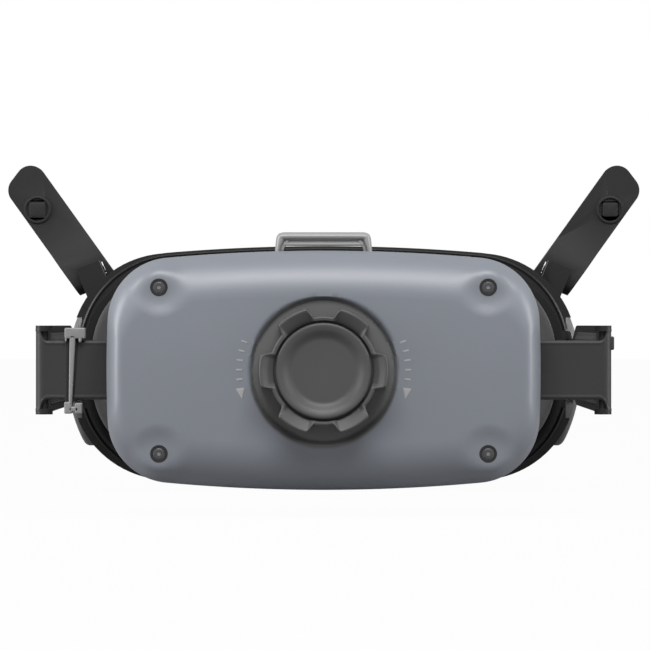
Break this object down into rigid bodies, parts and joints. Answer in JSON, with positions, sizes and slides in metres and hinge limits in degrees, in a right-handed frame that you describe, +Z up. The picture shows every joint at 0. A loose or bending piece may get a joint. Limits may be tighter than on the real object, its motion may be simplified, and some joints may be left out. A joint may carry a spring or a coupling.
{
  "type": "fpv goggles",
  "caption": "Video flying goggles with folding antennas and a headband whose rear battery case has a knob that draws in both straps.",
  "frame": {"origin": "under the middle one of the five rubber feet, on the plane they stand on", "axes": "+Y the way the wearer looks, +X the wearer's right, +Z up"},
  "size_m": [0.2086, 0.3243, 0.1056],
  "materials": {
    "shell_grey": "satin painted",
    "body_black": "fine matt",
    "dark_grey": "satin",
    "light_grey": "satin",
    "gloss_black": "polished",
    "rubber_black": "matt",
    "pad_fabric": "soft knit",
    "strap_rubber": "fine woven",
    "steel": "satin",
    "black_steel": "blackened",
    "aluminium": "satin",
    "board_green": "solder mask",
    "cell_wrap": "shrink wrap",
    "lens_glass": "coated"
  },
  "bodies": {
    "goggles": {"chassis": "body_black", "front_shell": "body_black", "front_panel": "gloss_black", "vent_grille": "body_black", "foot_pads": "rubber_black", "face_gasket": "rubber_black", "face_foam": "pad_fabric", "bulkhead": "body_black", "guide_rods": "steel", "proximity_window": "gloss_black", "main_board": "board_green", "heat_sink": "aluminium", "fan_frame": "body_black", "key_board": "board_green", "usb_port": "steel", "temple_boss_right": "light_grey", "temple_boss_left": "light_grey", "antenna_bracket_right": "body_black", "antenna_bracket_left": "body_black", "antenna_pins": "steel"},
    "fan": {"fan_impeller": "body_black"},
    "back_key": {"back_button": "body_black"},
    "link_key": {"link_button": "body_black"},
    "housing": {"rear_shell": "shell_grey", "inner_cover": "shell_grey", "head_pad": "pad_fabric", "housing_screws": "black_steel", "top_loop": "gloss_black", "battery_cells": "cell_wrap", "battery_board": "board_green", "detent_spring": "steel"},
    "power_key": {"power_button": "body_black"},
    "knob": {"knob_grip": "dark_grey", "knob_cap": "dark_grey", "knob_shaft": "steel"},
    "band_left": {"rack_left": "dark_grey", "strap_left": "strap_rubber", "buckle_left": "light_grey"},
    "band_right": {"rack_right": "dark_grey", "strap_right": "strap_rubber"},
    "eyepiece_left": {"carriage_left": "body_black", "display_left": "gloss_black"},
    "barrel_left": {"lens_barrel_left": "body_black", "eye_lens_left": "lens_glass"},
    "focus_left": {"focus_knob_left": "dark_grey"},
    "aerial_left": {"antenna_left": "dark_grey"},
    "side_arm_left": {"arm_left": "dark_grey", "arm_liner_left": "rubber_black"},
    "eyepiece_right": {"carriage_right": "body_black", "display_right": "gloss_black"},
    "barrel_right": {"lens_barrel_right": "body_black", "eye_lens_right": "lens_glass"},
    "focus_right": {"focus_knob_right": "dark_grey"},
    "aerial_right": {"antenna_right": "dark_grey"},
    "side_arm_right": {"arm_right": "dark_grey", "arm_liner_right": "rubber_black"}
  },
  "joints": [
    {"name": "headband_tilt", "type": "hinge", "parent": "goggles", "child": "housing", "pos_m": [0, -0.018, 0.0403], "axis": [-1, 0, 0], "range_deg": [-35, 12]},
    {"name": "knob_turn", "type": "hinge", "parent": "housing", "child": "knob", "pos_m": [0, -0.27, 0.0403], "axis": [0, 1, 0], "range_deg": [-100, 65]},
    {"name": "rack_left_slide", "type": "slide", "parent": "housing", "child": "band_left", "axis": [1, 0, 0], "range_m": [-0.0096, 0.0063]},
    {"name": "rack_right_slide", "type": "slide", "parent": "housing", "child": "band_right", "axis": [-1, 0, 0], "range_m": [-0.0096, 0.0063]},
    {"name": "arm_left_swing", "type": "hinge", "parent": "band_left", "child": "side_arm_left", "pos_m": [-0.0783, -0.2436, 0.0403], "axis": [0, 0, 1], "range_deg": [-2.5, 1.7]},
    {"name": "arm_right_swing", "type": "hinge", "parent": "band_right", "child": "side_arm_right", "pos_m": [0.0783, -0.2436, 0.0403], "axis": [0, 0, -1], "range_deg": [-2.5, 1.7]},
    {"name": "antenna_left_fold", "type": "hinge", "parent": "goggles", "child": "aerial_left", "pos_m": [-0.0756, 0.0025, 0.0684], "axis": [-0.9285, 0, -0.3714], "range_deg": [0, 175]},
    {"name": "antenna_right_fold", "type": "hinge", "parent": "goggles", "child": "aerial_right", "pos_m": [0.0756, 0.0025, 0.0684], "axis": [-0.9285, 0, 0.3714], "range_deg": [0, 175]},
    {"name": "ipd_left_slide", "type": "slide", "parent": "goggles", "child": "eyepiece_left", "axis": [1, 0, 0], "range_m": [-0.004, 0.004]},
    {"name": "lens_left_slide", "type": "slide", "parent": "eyepiece_left", "child": "barrel_left", "axis": [0, 1, 0], "range_m": [-0.0025, 0.0025]},
    {"name": "focus_left_turn", "type": "hinge", "parent": "eyepiece_left", "child": "focus_left", "pos_m": [-0.032, 0.012, 0.02], "axis": [0, 0, 1], "range_deg": [-48, 48]},
    {"name": "ipd_right_slide", "type": "slide", "parent": "goggles", "child": "eyepiece_right", "axis": [1, 0, 0], "range_m": [-0.004, 0.004]},
    {"name": "lens_right_slide", "type": "slide", "parent": "eyepiece_right", "child": "barrel_right", "axis": [0, 1, 0], "range_m": [-0.0025, 0.0025]},
    {"name": "focus_right_turn", "type": "hinge", "parent": "eyepiece_right", "child": "focus_right", "pos_m": [0.032, 0.012, 0.02], "axis": [0, 0, 1], "range_deg": [-48, 48]},
    {"name": "fan_spin", "type": "hinge", "parent": "goggles", "child": "fan", "pos_m": [0, 0.035, 0.0394], "axis": [0, 1, 0], "continuous": true},
    {"name": "back_button_press", "type": "slide", "parent": "goggles", "child": "back_key", "axis": [0, 0, -1], "range_m": [0, 0.0006], "stiffness_N_per_m": 600},
    {"name": "link_button_press", "type": "slide", "parent": "goggles", "child": "link_key", "axis": [0, 0, -1], "range_m": [0, 0.0006], "stiffness_N_per_m": 600},
    {"name": "power_button_press", "type": "slide", "parent": "housing", "child": "power_key", "axis": [0, 0, -1], "range_m": [0, 0.0006], "stiffness_N_per_m": 600}
  ],
  "couplings": [
    {"joint": "rack_left_slide", "follows": "knob_turn", "m_per_rad": 0.0054},
    {"joint": "rack_right_slide", "follows": "knob_turn", "m_per_rad": 0.0054},
    {"joint": "arm_left_swing", "follows": "knob_turn", "ratio": 0.02394},
    {"joint": "arm_right_swing", "follows": "knob_turn", "ratio": 0.02394},
    {"joint": "focus_left_turn", "follows": "lens_left_slide", "rad_per_m": 333.33},
    {"joint": "focus_right_turn", "follows": "lens_right_slide", "rad_per_m": -333.33}
  ]
}
